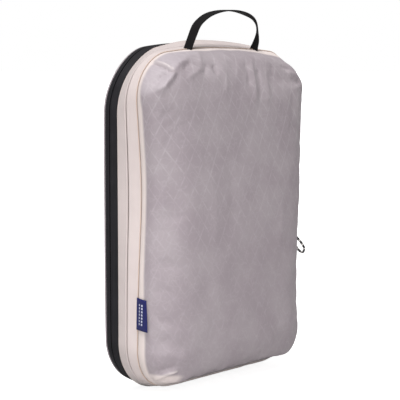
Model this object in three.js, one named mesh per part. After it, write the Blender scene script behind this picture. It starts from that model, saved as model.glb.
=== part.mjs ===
// Compression packing cube: a soft rectangular travel organiser that stands on one short end.
// Millimetres, +Z up, +X to the right seen from the front, -Y is the full front panel, +Y the back lid.
// z = 0 is the ground, x = 0 the middle of the width, y = 0 the middle of the band between the two zippers.
import * as THREE from 'three';

// ---- driving dimensions -------------------------------------------------------------------------

const WIDTH = 258;
const HEIGHT = 360;
const TOP_LEFT_RADIUS = 55;
const TOP_RIGHT_RADIUS = 38;
const BOTTOM_RADIUS = 58;
const SMALLEST_RADIUS = 5;
const TOP_CROWN_BACK = 15;
const TOP_CROWN_FRONT = 9;
const CORNER_STEPS = 7;
const TOP_STEPS = 7;

const FABRIC = 1.2;
const GAP = 0.3;

const MAIN_ZIP_Y = 14;
const COMPRESSION_ZIP_Y = -7;
const BACK_SEAM_Y = 19;
const MIDDLE_SEAM_Y = 5.4;
const FRONT_SEAM_Y = -21;
const ZIP_HALF_GAP = 0.6;
const COIL_WIDTH = 2;
const COIL_THICK = 1.4;
const HINGE_HALF = 60;

const BACK_PLANE_Y = 22;
const SEAM_BINDING = 4.4;
const BACK_BINDING = 1.6;
const BINDING_INSET = 2.4;
const GUSSET_INSET = 5.4;
const GUSSET_THICK = 2;

const SLIDER_LENGTH = 10;
const SLIDER_HALF_WIDTH = 4;
const SLIDER_WEB = 0.6;
const MAIN_UPPER_Z = 233;
const MAIN_LOWER_Z = 219;
const COMPRESSION_SLIDER_Z = 173;

const CORD_DIAMETER = 2.8;
const CORD_SIDES = 8;
const CORD_STEPS = 40;

const WEBBING_WIDTH = 12;
const WEBBING_THICK = 1.6;

const LABEL_HEIGHT = 34;
const LABEL_REACH = 16;

// ---- materials ----------------------------------------------------------------------------------

function finish(color, roughness, metalness = 0) {
  return new THREE.MeshStandardMaterial({ color, roughness, metalness });
}

const ripstop = finish(0xb3a7aa, 0.5);
const creamFabric = finish(0xd8cccb, 0.8);
const creamTape = finish(0xddd0ce, 0.75);
const blackTape = finish(0x323034, 0.7);
const binding = finish(0xcfc4c0, 0.85);
const coilCream = finish(0xcdbfba, 0.45);
const coilBlack = finish(0x1d1c1f, 0.4);
const darkMetal = finish(0x55565a, 0.35, 0.9);
const blackWebbing = finish(0x242324, 0.8);
const blueLabel = finish(0x2b2f6e, 0.75);
const speckledCord = finish(0x4a4648, 0.85);

// ---- the bag's outline --------------------------------------------------------------------------

// How far the top edge rises in its middle, at depth y.
function crownAt(y) {
  const share = (BACK_SEAM_Y - y) / (BACK_SEAM_Y - FRONT_SEAM_Y);
  return THREE.MathUtils.lerp(TOP_CROWN_BACK, TOP_CROWN_FRONT, THREE.MathUtils.clamp(share, 0, 1));
}

// Points of the rounded outline at an inset from the bag's edge and a depth y. It starts at the bottom,
// half a gap to the right of the middle, and runs round to the same distance on the left.
function outline(inset, y, halfGap = 0) {
  const side = WIDTH / 2 - inset;
  const top = HEIGHT - inset;
  const upperLeft = Math.max(TOP_LEFT_RADIUS - inset, SMALLEST_RADIUS);
  const upperRight = Math.max(TOP_RIGHT_RADIUS - inset, SMALLEST_RADIUS);
  const lower = Math.max(BOTTOM_RADIUS - inset, SMALLEST_RADIUS);
  const flat = [new THREE.Vector2(halfGap, inset)];
  const corner = (x, z, radius, start) => {
    for (let i = 0; i <= CORNER_STEPS; i += 1) {
      const a = THREE.MathUtils.degToRad(start + (90 * i) / CORNER_STEPS);
      flat.push(new THREE.Vector2(x + radius * Math.cos(a), z + radius * Math.sin(a)));
    }
  };
  corner(side - lower, inset + lower, lower, -90);
  corner(side - upperRight, top - upperRight, upperRight, 0);
  for (let i = 1; i < TOP_STEPS; i += 1) {
    const x = THREE.MathUtils.lerp(side - upperRight, upperLeft - side, i / TOP_STEPS);
    flat.push(new THREE.Vector2(x, top));
  }
  corner(upperLeft - side, top - upperLeft, upperLeft, 90);
  corner(lower - side, inset + lower, lower, 180);
  if (halfGap > 0) flat.push(new THREE.Vector2(-halfGap, inset));
  return flat.map(({ x, y: z }) => {
    const height = Math.max(0, (2 * z) / HEIGHT - 1);
    const crown = crownAt(y) * (1 - (x / side) ** 2) * height ** 4;
    return new THREE.Vector3(x, y, z + crown);
  });
}

// ---- solids from outlines -----------------------------------------------------------------------

function signedVolume(points, faces) {
  return faces.reduce((sum, [a, b, c]) => {
    const across = new THREE.Vector3().crossVectors(points[b], points[c]);
    return sum + points[a].dot(across) / 6;
  }, 0);
}

// A closed body from its points and triangles, with the faces turned outwards.
function closedBody(points, faces) {
  const inward = signedVolume(points, faces) < 0;
  const turned = inward ? faces.map(([a, b, c]) => [a, c, b]) : faces;
  const geometry = new THREE.BufferGeometry().setFromPoints(points);
  geometry.setIndex(turned.flat());
  return geometry;
}

// Triangles of the strip between two rows of points that start at a and b.
function strip(faces, a, b, count, joined) {
  const last = joined ? count : count - 1;
  for (let i = 0; i < last; i += 1) {
    const next = (i + 1) % count;
    faces.push([a + i, a + next, b + next], [a + i, b + next, b + i]);
  }
}

// A band round the bag's edge. Its section is a list of [inset, y] corners. With a half gap the band
// stays open at the bottom, between that distance left and right of the middle.
function edgeBand(section, halfGap = 0) {
  const rows = section.map(([inset, y]) => outline(inset, y, halfGap));
  const count = rows[0].length;
  const faces = [];
  rows.forEach((row, j) => {
    strip(faces, j * count, ((j + 1) % rows.length) * count, count, halfGap === 0);
  });
  if (halfGap > 0) {
    for (let j = 1; j < rows.length - 1; j += 1) {
      faces.push([0, j * count, (j + 1) * count]);
      faces.push([count - 1, (j + 2) * count - 1, (j + 1) * count - 1]);
    }
  }
  return closedBody(rows.flat(), faces);
}

// A band of rectangular section.
function flatBand(inset, thick, yBack, yFront, halfGap = 0) {
  const section = [[inset, yBack], [inset, yFront], [inset + thick, yFront], [inset + thick, yBack]];
  return edgeBand(section, halfGap);
}

// A thin dished panel. The profile runs from its rim to the middle as [inset, y] pairs.
function dishedPanel(profile, thick, towards) {
  const inner = profile.map(([inset, y], i) => {
    const [beforeInset, beforeY] = profile[Math.max(i - 1, 0)];
    const [afterInset, afterY] = profile[Math.min(i + 1, profile.length - 1)];
    const run = new THREE.Vector2(afterInset - beforeInset, afterY - beforeY).normalize();
    const turn = i === 0 ? new THREE.Vector2(0, towards) : run;
    return [inset + thick * Math.abs(turn.y), y - thick * towards * Math.abs(turn.x)];
  });
  const rows = [...inner.reverse(), ...profile].map(([inset, y]) => outline(inset, y));
  const count = rows[0].length;
  const points = rows.flat();
  const faces = [];
  for (let j = 0; j + 1 < rows.length; j += 1) strip(faces, j * count, (j + 1) * count, count, true);
  const middle = (row) => row.reduce((sum, p) => sum.add(p), new THREE.Vector3()).divideScalar(count);
  const innerMiddle = points.push(middle(rows[0])) - 1;
  const outerMiddle = points.push(middle(rows.at(-1))) - 1;
  const lastRow = (rows.length - 1) * count;
  for (let i = 0; i < count; i += 1) {
    const next = (i + 1) % count;
    faces.push([innerMiddle, next, i]);
    faces.push([outerMiddle, lastRow + i, lastRow + next]);
  }
  return closedBody(points, faces);
}

// ---- other shapes -------------------------------------------------------------------------------

function polygon(corners) {
  return new THREE.Shape(corners.map(([a, b]) => new THREE.Vector2(a, b)));
}

// A shape drawn as (x, y), raised along Z and centred on z = 0.
function raised(shape, height) {
  const geometry = new THREE.ExtrudeGeometry(shape, { depth: height, bevelEnabled: false });
  return geometry.translate(0, 0, -height / 2);
}

// A shape drawn as (x, z), given a width along Y and centred on y = 0.
function widened(shape, width) {
  return raised(shape, width).rotateX(Math.PI / 2);
}

const bag = new THREE.Group();

function add(name, geometry, material, x = 0, y = 0, z = 0) {
  const mesh = new THREE.Mesh(geometry, material);
  mesh.name = name;
  mesh.position.set(x, y, z);
  bag.add(mesh);
}

// ---- zippers ------------------------------------------------------------------------------------

// One side of a zipper: a woven tape and the coil sewn behind its edge. Direction +1 is the back side.
function zipperSide(name, zipY, direction, tapeEnd, halfGap, tape, coil) {
  const edge = zipY + direction * ZIP_HALF_GAP;
  const coilInset = FABRIC + GAP;
  const coilEnd = edge + direction * COIL_WIDTH;
  add(`${name.replace('_', '_tape_')}`, flatBand(0, FABRIC, edge, tapeEnd, halfGap), tape);
  add(`${name.replace('_', '_coil_')}`, flatBand(coilInset, COIL_THICK, edge, coilEnd, halfGap), coil);
}

zipperSide('main_back', MAIN_ZIP_Y, 1, BACK_SEAM_Y, HINGE_HALF, blackTape, coilBlack);
zipperSide('main_front', MAIN_ZIP_Y, -1, MIDDLE_SEAM_Y + GAP, HINGE_HALF, blackTape, coilBlack);
zipperSide('compression_back', COMPRESSION_ZIP_Y, 1, MIDDLE_SEAM_Y, 0, creamTape, coilCream);
zipperSide('compression_front', COMPRESSION_ZIP_Y, -1, FRONT_SEAM_Y + GAP, 0, creamTape, coilCream);

// A zipper slider on the right-hand side: an outer plate, an inner plate and the web between the tapes.
const PLATE = 1.4;
const PLATE_GAP = 0.4;
const INNER_PLATE_HALF_WIDTH = 3;
const outerPlateIn = PLATE_GAP;
const outerPlateOut = PLATE_GAP + PLATE;
const innerPlateOut = -(FABRIC + GAP + COIL_THICK + GAP);
const innerPlateIn = innerPlateOut - PLATE;

function sliderBody() {
  const web = SLIDER_WEB / 2;
  const half = [
    [outerPlateOut, SLIDER_HALF_WIDTH],
    [outerPlateIn, SLIDER_HALF_WIDTH],
    [outerPlateIn, web],
    [innerPlateOut, web],
    [innerPlateOut, INNER_PLATE_HALF_WIDTH],
    [innerPlateIn, INNER_PLATE_HALF_WIDTH],
  ];
  const mirrored = half.map(([x, y]) => [x, -y]).reverse();
  return raised(polygon([...half, ...mirrored]), SLIDER_LENGTH);
}

// The bridge on the slider's outer plate, under which the pull ring swings.
const BRIDGE_WIDTH = 2.2;
const BRIDGE_HALF_LENGTH = 3.4;
const BRIDGE_FOOT = 1.2;
const BRIDGE_BAR = 1.2;
const bridgeFoot = outerPlateOut + GAP;
const pivotOut = 3.6;
const bridgeUnder = pivotOut + 1.4;
const bridgeTop = bridgeUnder + BRIDGE_BAR;

function sliderBridge() {
  const inside = BRIDGE_HALF_LENGTH - BRIDGE_FOOT;
  const corners = [
    [bridgeFoot, -BRIDGE_HALF_LENGTH],
    [bridgeTop, -BRIDGE_HALF_LENGTH],
    [bridgeTop, BRIDGE_HALF_LENGTH],
    [bridgeFoot, BRIDGE_HALF_LENGTH],
    [bridgeFoot, inside],
    [bridgeUnder, inside],
    [bridgeUnder, -inside],
    [bridgeFoot, -inside],
  ];
  return widened(polygon(corners), BRIDGE_WIDTH);
}

// The small metal pull: a frame whose upper bar turns under the bridge, with an eye at its lower end.
const PULL_HALF_WIDTH = 4;
const PULL_THICK = 1.4;
const PULL_BAR = 0.8;
const PULL_WINDOW_END = -4.8;
const PULL_EYE_TOP = -6.2;
const PULL_EYE_END = -8.4;
const PULL_END = -9.8;
const PULL_WINDOW_HALF = 1.6;
const PULL_EYE_HALF = 2.4;

function pullRing() {
  const shape = polygon([
    [-PULL_HALF_WIDTH, PULL_BAR],
    [-PULL_HALF_WIDTH, PULL_END + 1],
    [-PULL_HALF_WIDTH + 1, PULL_END],
    [PULL_HALF_WIDTH - 1, PULL_END],
    [PULL_HALF_WIDTH, PULL_END + 1],
    [PULL_HALF_WIDTH, PULL_BAR],
  ]);
  const window = (half, top, end) => {
    const hole = [[-half, top], [half, top], [half, end], [-half, end]];
    shape.holes.push(new THREE.Path(hole.map(([a, b]) => new THREE.Vector2(a, b))));
  };
  window(PULL_WINDOW_HALF, -PULL_BAR, PULL_WINDOW_END);
  window(PULL_EYE_HALF, PULL_EYE_TOP, PULL_EYE_END);
  return raised(shape, PULL_THICK).rotateX(Math.PI / 2).rotateZ(Math.PI / 2);
}

function slider(name, y, z) {
  add(`${name}_slider_body`, sliderBody(), darkMetal, WIDTH / 2, y, z);
  add(`${name}_slider_bridge`, sliderBridge(), darkMetal, WIDTH / 2, y, z);
  add(`${name}_pull_ring`, pullRing(), darkMetal, WIDTH / 2 + pivotOut, y, z);
}

slider('main_upper', MAIN_ZIP_Y, MAIN_UPPER_Z);
slider('main_lower', MAIN_ZIP_Y, MAIN_LOWER_Z);
slider('compression', COMPRESSION_ZIP_Y, COMPRESSION_SLIDER_Z);

// Stops: one crimp at each end of the main coil, and the moulded stop that closes the compression ring.
const STOP_LENGTH = 5;
const STOP_WIDTH = 6.4;
const STOP_THICK = 1.2;
const STOP_DROP = 17;
const stopInset = FABRIC + GAP + COIL_THICK + GAP + STOP_THICK / 2;
[['left', -1], ['right', 1]].forEach(([name, side]) => {
  const block = new THREE.BoxGeometry(STOP_LENGTH, STOP_WIDTH / 2, STOP_THICK);
  const y = MAIN_ZIP_Y - ZIP_HALF_GAP - STOP_WIDTH / 4;
  add(`main_zip_stop_${name}`, block, darkMetal, side * (HINGE_HALF + STOP_LENGTH / 2), y, stopInset);
});
add(
  'compression_zip_stop',
  new THREE.BoxGeometry(STOP_THICK, STOP_WIDTH / 2, STOP_LENGTH),
  coilCream,
  WIDTH / 2 + PLATE_GAP + STOP_THICK / 2,
  COMPRESSION_ZIP_Y + ZIP_HALF_GAP + STOP_WIDTH / 4,
  COMPRESSION_SLIDER_Z - STOP_DROP,
);

// ---- fabric walls -------------------------------------------------------------------------------

// The full front panel swells out past its seam, rounds over and crowns slightly in the middle.
const frontProfile = [
  [0.6, FRONT_SEAM_Y],
  [0, -30],
  [0.6, -38],
  [3, -45],
  [9, -50],
  [24, -53],
  [60, -56],
  [105, -57.5],
];
add('front_panel', dishedPanel(frontProfile, FABRIC, -1), ripstop);

const backProfile = [
  [0, BACK_SEAM_Y + GAP],
  [1.5, BACK_PLANE_Y - 1],
  [6, BACK_PLANE_Y],
  [60, BACK_PLANE_Y + 0.8],
];
add('back_panel', dishedPanel(backProfile, FABRIC, 1), ripstop);

// The strip of fabric that joins lid and body along the bottom, where the main zipper stops short.
const hingeHalf = HINGE_HALF - GAP;
const hingeDepth = BACK_SEAM_Y - MIDDLE_SEAM_Y - GAP;
add(
  'hinge_strip',
  new THREE.BoxGeometry(2 * hingeHalf, hingeDepth, FABRIC),
  creamFabric,
  0,
  BACK_SEAM_Y - hingeDepth / 2,
  FABRIC / 2,
);

// Tape that covers each seam on the inside.
function seamBinding(y, width) {
  return flatBand(BINDING_INSET, FABRIC, y + width / 2, y - width / 2);
}
add('gusset_seam_binding', seamBinding(MIDDLE_SEAM_Y, SEAM_BINDING), binding);
add('front_seam_binding', seamBinding(FRONT_SEAM_Y, SEAM_BINDING), binding);
add('back_seam_binding', seamBinding(BACK_SEAM_Y - BACK_BINDING / 2, BACK_BINDING), binding);

// The expansion gusset, folded flat behind the closed compression zipper.
const gusset = flatBand(GUSSET_INSET, GUSSET_THICK, MIDDLE_SEAM_Y - GAP, FRONT_SEAM_Y + GAP);
add('expansion_gusset', gusset, creamFabric);

// ---- label --------------------------------------------------------------------------------------

// A folded woven tag sewn into the front seam on the left side. It leans forward, over the panel.
const LABEL_THICK = 1;
const LABEL_Z = 91;
const LABEL_STANDOFF = 1;
const labelShape = polygon([
  [-LABEL_STANDOFF, 0],
  [-LABEL_STANDOFF - LABEL_THICK, 0],
  [-LABEL_STANDOFF - LABEL_THICK - 1.6, -LABEL_REACH],
  [-LABEL_STANDOFF - 1.6, -LABEL_REACH],
]);
add('side_label', raised(labelShape, LABEL_HEIGHT), blueLabel, -WIDTH / 2, FRONT_SEAM_Y, LABEL_Z);

// ---- carry handle -------------------------------------------------------------------------------

// One length of webbing, sewn into the front seam at both ends. Its flat side follows an arch that
// leans to the right, and it narrows to its fold at each end.
const HANDLE_ARCH = [
  [-46, 0], [-39.5, 12], [-32, 24], [-21, 32], [-9, 37], [6, 40.2], [21, 41.4],
  [36, 41], [51, 38.3], [63.5, 33.4], [70.5, 26.5], [72, 19], [70, 9], [66, 0],
];
const HANDLE_BASE_Z = 369.5;
const HANDLE_STEPS = 24;
const FOLD_HALF_WIDTH = 1.8;
const FOLD_LENGTH = 9;

function carryHandle() {
  const arch = new THREE.CatmullRomCurve3(HANDLE_ARCH.map(([x, z]) => new THREE.Vector3(x, 0, z)));
  const length = arch.getLength();
  const points = [];
  for (let i = 0; i <= HANDLE_STEPS; i += 1) {
    const u = i / HANDLE_STEPS;
    const at = arch.getPointAt(u);
    const along = arch.getTangentAt(u);
    const out = new THREE.Vector3(-along.z, 0, along.x).multiplyScalar(WEBBING_THICK / 2);
    const fromEnd = Math.min(u, 1 - u) * length;
    const open = Math.min(fromEnd / FOLD_LENGTH, 1);
    const half = THREE.MathUtils.lerp(FOLD_HALF_WIDTH, WEBBING_WIDTH / 2, open);
    const side = new THREE.Vector3(0, half, 0);
    points.push(at.clone().add(out).add(side), at.clone().add(out).sub(side));
    points.push(at.clone().sub(out).sub(side), at.clone().sub(out).add(side));
  }
  const faces = [[0, 1, 2], [0, 2, 3]];
  for (let i = 0; i < HANDLE_STEPS; i += 1) strip(faces, 4 * i + 4, 4 * i, 4, true);
  const end = 4 * HANDLE_STEPS;
  faces.push([end, end + 2, end + 1], [end, end + 3, end + 2]);
  return closedBody(points, faces);
}
add('carry_handle', carryHandle(), blackWebbing, 0, FRONT_SEAM_Y, HANDLE_BASE_Z);

// ---- cord pull on the compression slider --------------------------------------------------------

// A loop of braided cord that springs out and forward from the pull ring. Both its ends meet the ring.
const CORD_ROUTE = [
  [133, -7, 161.8], [134.5, -10, 158.5], [136, -13.5, 154.5], [137.5, -16.5, 150], [138.5, -19.5, 145.5],
  [140, -22.5, 141], [141, -25, 136.5], [143, -27, 132], [144, -28.5, 130], [146, -29, 128.5],
  [148, -29.5, 127.5], [150.5, -29.5, 127.5], [152.5, -29, 128.5], [154, -28.5, 130], [155, -27.5, 132],
  [155, -26.5, 134], [153.5, -23.5, 139], [151, -20.5, 143.5], [148, -18, 147.5], [144.5, -15.5, 151.5],
  [141.5, -12.5, 155.5], [139, -9.5, 159], [137, -7, 161.8],
];

function pullCord() {
  const route = new THREE.CatmullRomCurve3(CORD_ROUTE.map(([x, y, z]) => new THREE.Vector3(x, y, z)));
  const section = new THREE.Shape();
  section.absarc(0, 0, CORD_DIAMETER / 2, 0, 2 * Math.PI);
  return new THREE.ExtrudeGeometry(section, {
    steps: CORD_STEPS,
    curveSegments: CORD_SIDES / 2,
    extrudePath: route,
    bevelEnabled: false,
  });
}
add('compression_pull_cord', pullCord(), speckledCord);

export default bag;
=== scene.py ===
"""The looks of a compression packing cube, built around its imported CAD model.

Lengths are in metres unless a comment says millimetres. +Z is up and -Y is the full front panel.
"""

import math

import bmesh
import bpy
import numpy as np
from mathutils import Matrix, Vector, noise


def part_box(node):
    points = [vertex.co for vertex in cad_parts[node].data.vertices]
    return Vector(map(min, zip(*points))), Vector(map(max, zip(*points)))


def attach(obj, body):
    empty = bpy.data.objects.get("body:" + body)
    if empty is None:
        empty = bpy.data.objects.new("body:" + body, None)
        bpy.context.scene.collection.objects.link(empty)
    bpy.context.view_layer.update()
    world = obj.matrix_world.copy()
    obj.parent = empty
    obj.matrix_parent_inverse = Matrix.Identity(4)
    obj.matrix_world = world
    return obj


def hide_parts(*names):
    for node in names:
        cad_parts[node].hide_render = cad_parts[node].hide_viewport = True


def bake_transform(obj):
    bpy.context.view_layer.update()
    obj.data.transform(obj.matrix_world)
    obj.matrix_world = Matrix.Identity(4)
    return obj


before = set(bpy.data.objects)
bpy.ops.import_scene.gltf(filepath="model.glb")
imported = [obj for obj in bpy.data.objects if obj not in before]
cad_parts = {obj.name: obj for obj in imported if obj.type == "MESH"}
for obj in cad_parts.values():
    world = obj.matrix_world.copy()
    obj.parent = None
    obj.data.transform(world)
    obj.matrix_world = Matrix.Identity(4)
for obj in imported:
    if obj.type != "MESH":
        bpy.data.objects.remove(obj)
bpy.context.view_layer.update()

MM = 0.001

# ---- sizes read from the frame

tape_low, tape_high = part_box("compression_tape_back")
front_tape_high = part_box("compression_tape_front")[1]
main_back_low, main_back_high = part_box("main_tape_back")
main_front_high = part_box("main_tape_front")[1]

HALF_WIDTH = tape_high.x
HEIGHT = 0.360
TOP_LEFT_RADIUS = 0.055
TOP_RIGHT_RADIUS = 0.038
BOTTOM_RADIUS = 0.058
MAIN_Y = (main_back_low.y + main_front_high.y) / 2
COMPRESSION_Y = (tape_low.y + front_tape_high.y) / 2
BACK_SEAM = main_back_high.y
MIDDLE_SEAM = tape_high.y
FRONT_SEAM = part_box("front_panel")[1].y
HINGE_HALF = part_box("hinge_strip")[1].x
HANDLE_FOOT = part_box("carry_handle")[0].z

# How the soft edge leaves its plain outline, in millimetres, from the back seam (first) to the
# front seam (last). The top rises in its middle, most at the folded edge between the zippers. The
# left side swells at the back and is drawn in at the front. The bottom lifts off the ground in its
# middle. The tapers say how quickly the top's rise fades towards its corners, and the trims are
# added to the corners' radii.
EDGE_Y = (19.6, 14.0, 6.4, 5.4, -7.0, -21.0)
TOP_RISE = (15.3, 14.6, 16.6, 18.0, 12.2, 9.6)
LEFT_SWELL = (3.3, 2.2, -1.2, -1.5, -1.2, -3.6)
LEFT_TUCK = (0.0, 0.0, 0.0, 0.0, -3.2, -6.0)
TOP_TAPER = (1.0, 1.0, 1.9, 2.0, 1.7, 1.5)
TOP_TAPER_RIGHT = (0.6, 0.6, 0.55, 0.55, 0.55, 0.55)
LEFT_TRIM = (3.0, 4.0, 8.0, 8.0, -1.0, -6.0)
RIGHT_TRIM = (0.0, 0.0, 0.0, 0.0, -1.5, -3.5)
BOTTOM_TRIM = (0.0, 0.0, 0.0, 0.0, -3.0, -7.0)
BOTTOM_LIFT = (4.0, 3.2, 1.0, 0.2, 3.0, 6.0)
TUCK_Z = 0.218
TUCK_REACH = 0.075

# ---- small tools


def ramp(value, start, reach):
    """0 up to the start and 1 from a reach beyond it, smoothly. A negative reach runs downwards."""
    t = np.clip((value - start) / reach, 0, 1)
    return t * t * (3 - 2 * t)


def unit(vectors):
    """The vectors, each scaled to length 1."""
    return vectors / np.linalg.norm(vectors, axis=-1)[..., None]


def run_along(line):
    """The distance run along a line to each of its points."""
    return np.concatenate([[0], np.cumsum(np.linalg.norm(np.diff(line, axis=0), axis=1))])


def places(line, run, at):
    """The points of a line at the distances given."""
    return np.stack([np.interp(at, run, line[:, k]) for k in range(line.shape[1])], 1)


def beside(run, value):
    """The UV pairs of one row: its run, and one value for its place across."""
    return np.stack([run, np.full(len(run), value)], 1)


def spaced(line, count):
    """Evenly spaced points along a line, and the distance run to each."""
    run = run_along(line)
    at = np.linspace(0, run[-1], count)
    return places(line, run, at), at


def catmull(points, count):
    """Points of a Catmull-Rom curve through the given ones, evenly spaced along it."""
    p = np.array(points, float)
    p = np.vstack([2 * p[0] - p[1], p, 2 * p[-1] - p[-2]])
    fine = []
    for i in range(1, len(p) - 2):
        t = np.linspace(0, 1, 24, endpoint=False)[:, None]
        a, b, c, d = p[i - 1 : i + 3]
        square, cube = 2 * a - 5 * b + 4 * c - d, 3 * b - a - 3 * c + d
        fine.append(0.5 * (2 * b + (c - a) * t + square * t**2 + cube * t**3))
    return spaced(np.vstack([*fine, p[-2:-1]]), count)[0]


def corners(inset, y, smallest):
    """The middles and radii of the four rounded corners at an inset and a depth."""
    side, top = HALF_WIDTH - inset, HEIGHT - inset
    left = max(TOP_LEFT_RADIUS + float(by_depth(LEFT_TRIM, y)) - inset, smallest)
    right = max(TOP_RIGHT_RADIUS + float(by_depth(RIGHT_TRIM, y)) - inset, smallest)
    lower = max(BOTTOM_RADIUS + float(by_depth(BOTTOM_TRIM, y)) - inset, smallest)
    return {
        "bottom right": (side - lower, inset + lower, lower),
        "top right": (side - right, top - right, right),
        "top left": (left - side, top - left, left),
        "bottom left": (lower - side, inset + lower, lower),
    }


def arc(corner, low, high, count):
    """Points of a rounded corner between two angles, in degrees from the right."""
    x, z, radius = corner
    a = np.radians(np.linspace(low, high, count))
    return np.stack([x + radius * np.cos(a), z + radius * np.sin(a)], 1)


def edge_loop(inset, y, count, half_gap=0.0):
    """Points round the rounded outline at an inset and a depth, and the distance run along it.

    It starts at the middle of the bottom, or half a gap to its right, and goes up the right side.
    """
    fine = [np.array([[half_gap, inset]])]
    for corner, start in zip(corners(inset, y, 0.004).values(), (-90, 0, 90, 180)):
        fine.append(arc(corner, start, start + 90, 48))
    fine.append(np.array([[-half_gap, inset]]))
    line, at = spaced(np.vstack(fine), count)
    return bowed(line[:, 0], np.full(count, y), line[:, 1], inset), at


def by_depth(values, y):
    """One of the edge tables, in metres, at a depth."""
    return np.interp(-np.asarray(y), [-v * MM for v in EDGE_Y], [v * MM for v in values])


def bowed(x, y, z, inset):
    """Moves plain outline points to the soft edge's place. It fades towards a panel's middle."""
    across = np.clip(x / (HALF_WIDTH - np.minimum(inset, HALF_WIDTH * 0.97)), -1, 1)
    height = 2 * z / HEIGHT - 1
    upper, lower = np.clip(height, 0, 1) ** 4, np.clip(-height, 0, 1) ** 4
    taper = np.where(x > 0, by_depth(TOP_TAPER_RIGHT, y), by_depth(TOP_TAPER, y)) / MM
    crown = (1 - across**2) ** taper
    straight = (1 - np.clip(height, -1, 1) ** 4) * np.abs(across) ** 4
    tuck = np.exp(-(((z - TUCK_Z) / TUCK_REACH) ** 2))
    swell = by_depth(LEFT_SWELL, y) + by_depth(LEFT_TUCK, y) * tuck
    new_x = x - np.where(x < 0, swell, 0) * straight
    new_z = z + crown * by_depth(TOP_RISE, y) * upper + by_depth(BOTTOM_LIFT, y) * lower
    return np.stack([new_x, y, new_z], 1)


def add_object(name, data):
    made = bpy.data.objects.new(name, data)
    bpy.context.scene.collection.objects.link(made)
    return made


def make_mesh(name, points, faces, uvs=None):
    """A smooth-shaded object. uvs, if given, holds one pair for each point."""
    mesh = bpy.data.meshes.new(name)
    mesh.from_pydata([tuple(p) for p in points], [], [tuple(f) for f in faces])
    mesh.update()
    if uvs is not None:
        layer = mesh.uv_layers.new(name="along")
        corner = np.zeros(len(mesh.loops), np.int32)
        mesh.loops.foreach_get("vertex_index", corner)
        layer.data.foreach_set("uv", np.asarray(uvs, np.float32)[corner].ravel())
    mesh.polygons.foreach_set("use_smooth", [True] * len(mesh.polygons))
    return add_object(name, mesh)


def outward(piece):
    """Turns every face of a closed piece outwards."""
    work = bmesh.new()
    work.from_mesh(piece.data)
    bmesh.ops.recalc_face_normals(work, faces=work.faces)
    work.to_mesh(piece.data)
    work.free()
    return piece


def swept(name, rows, joined_ends, uvs=None):
    """A solid through rows of points. Each row runs along it, and they go round its section."""
    count, row_count = len(rows[0]), len(rows)
    faces = []
    for j in range(row_count):
        a, b = j * count, ((j + 1) % row_count) * count
        for i in range(count if joined_ends else count - 1):
            k = (i + 1) % count
            faces.append((a + i, a + k, b + k, b + i))
    if not joined_ends:
        faces.append(tuple(j * count for j in range(row_count)))
        faces.append(tuple(j * count + count - 1 for j in reversed(range(row_count))))
    return outward(make_mesh(name, np.vstack(rows), faces, uvs))


LOOP_COUNT = 420


def band(name, section, half_gap=0.0):
    """A band round the bag's edge, from a closed section of (inset, y) points in millimetres."""
    rows, uvs = [], []
    joined = half_gap == 0
    for inset, y in section:
        count = LOOP_COUNT + 1 if joined else LOOP_COUNT
        row, run = edge_loop(inset * MM, y * MM, count, half_gap)
        if joined:
            row, run = row[:-1], run[:-1]
        rows.append(row)
        uvs.append(beside(run, y * MM))
    return swept(name, rows, joined, np.vstack(uvs))


def finish_piece(piece, body, material, node=None):
    """Gives a piece its material and its body, and hides the CAD node it stands for."""
    piece.data.materials.append(material)
    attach(piece, body)
    if node:
        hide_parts(node)


def blend_piece(piece, material, node):
    """Gives a piece its material, hides the CAD node it stands for and fixes its place in the
    world. It is for a piece that spans two bodies and gets neither.
    """
    piece.data.materials.append(material)
    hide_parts(node)
    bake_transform(piece)


# ---- camera

CAMERA_AZIMUTH = -48.33
CAMERA_ELEVATION = 6.62
CAMERA_DISTANCE = 1.4997
LENS = 119.35
SENSOR = 36.0
AIM_RIGHT = 0.00578
AIM_UP = 0.01244


def make_camera():
    azimuth, elevation = math.radians(CAMERA_AZIMUTH), math.radians(CAMERA_ELEVATION)
    back = Vector((
        math.sin(azimuth) * math.cos(elevation),
        -math.cos(azimuth) * math.cos(elevation),
        math.sin(elevation),
    ))
    middle = Vector((0, MAIN_Y, HEIGHT / 2))
    right = (-back).cross(Vector((0, 0, 1))).normalized()
    up = right.cross(-back)
    aim = -back + AIM_RIGHT * right + AIM_UP * up
    data = bpy.data.cameras.new("camera")
    data.lens, data.sensor_width = LENS, SENSOR
    data.clip_start, data.clip_end = 0.05, 50
    camera = add_object("camera", data)
    camera.location = middle + back * CAMERA_DISTANCE
    camera.rotation_euler = aim.to_track_quat("-Z", "Y").to_euler()
    bpy.context.scene.camera = camera


make_camera()

# ---- material tools


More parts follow.
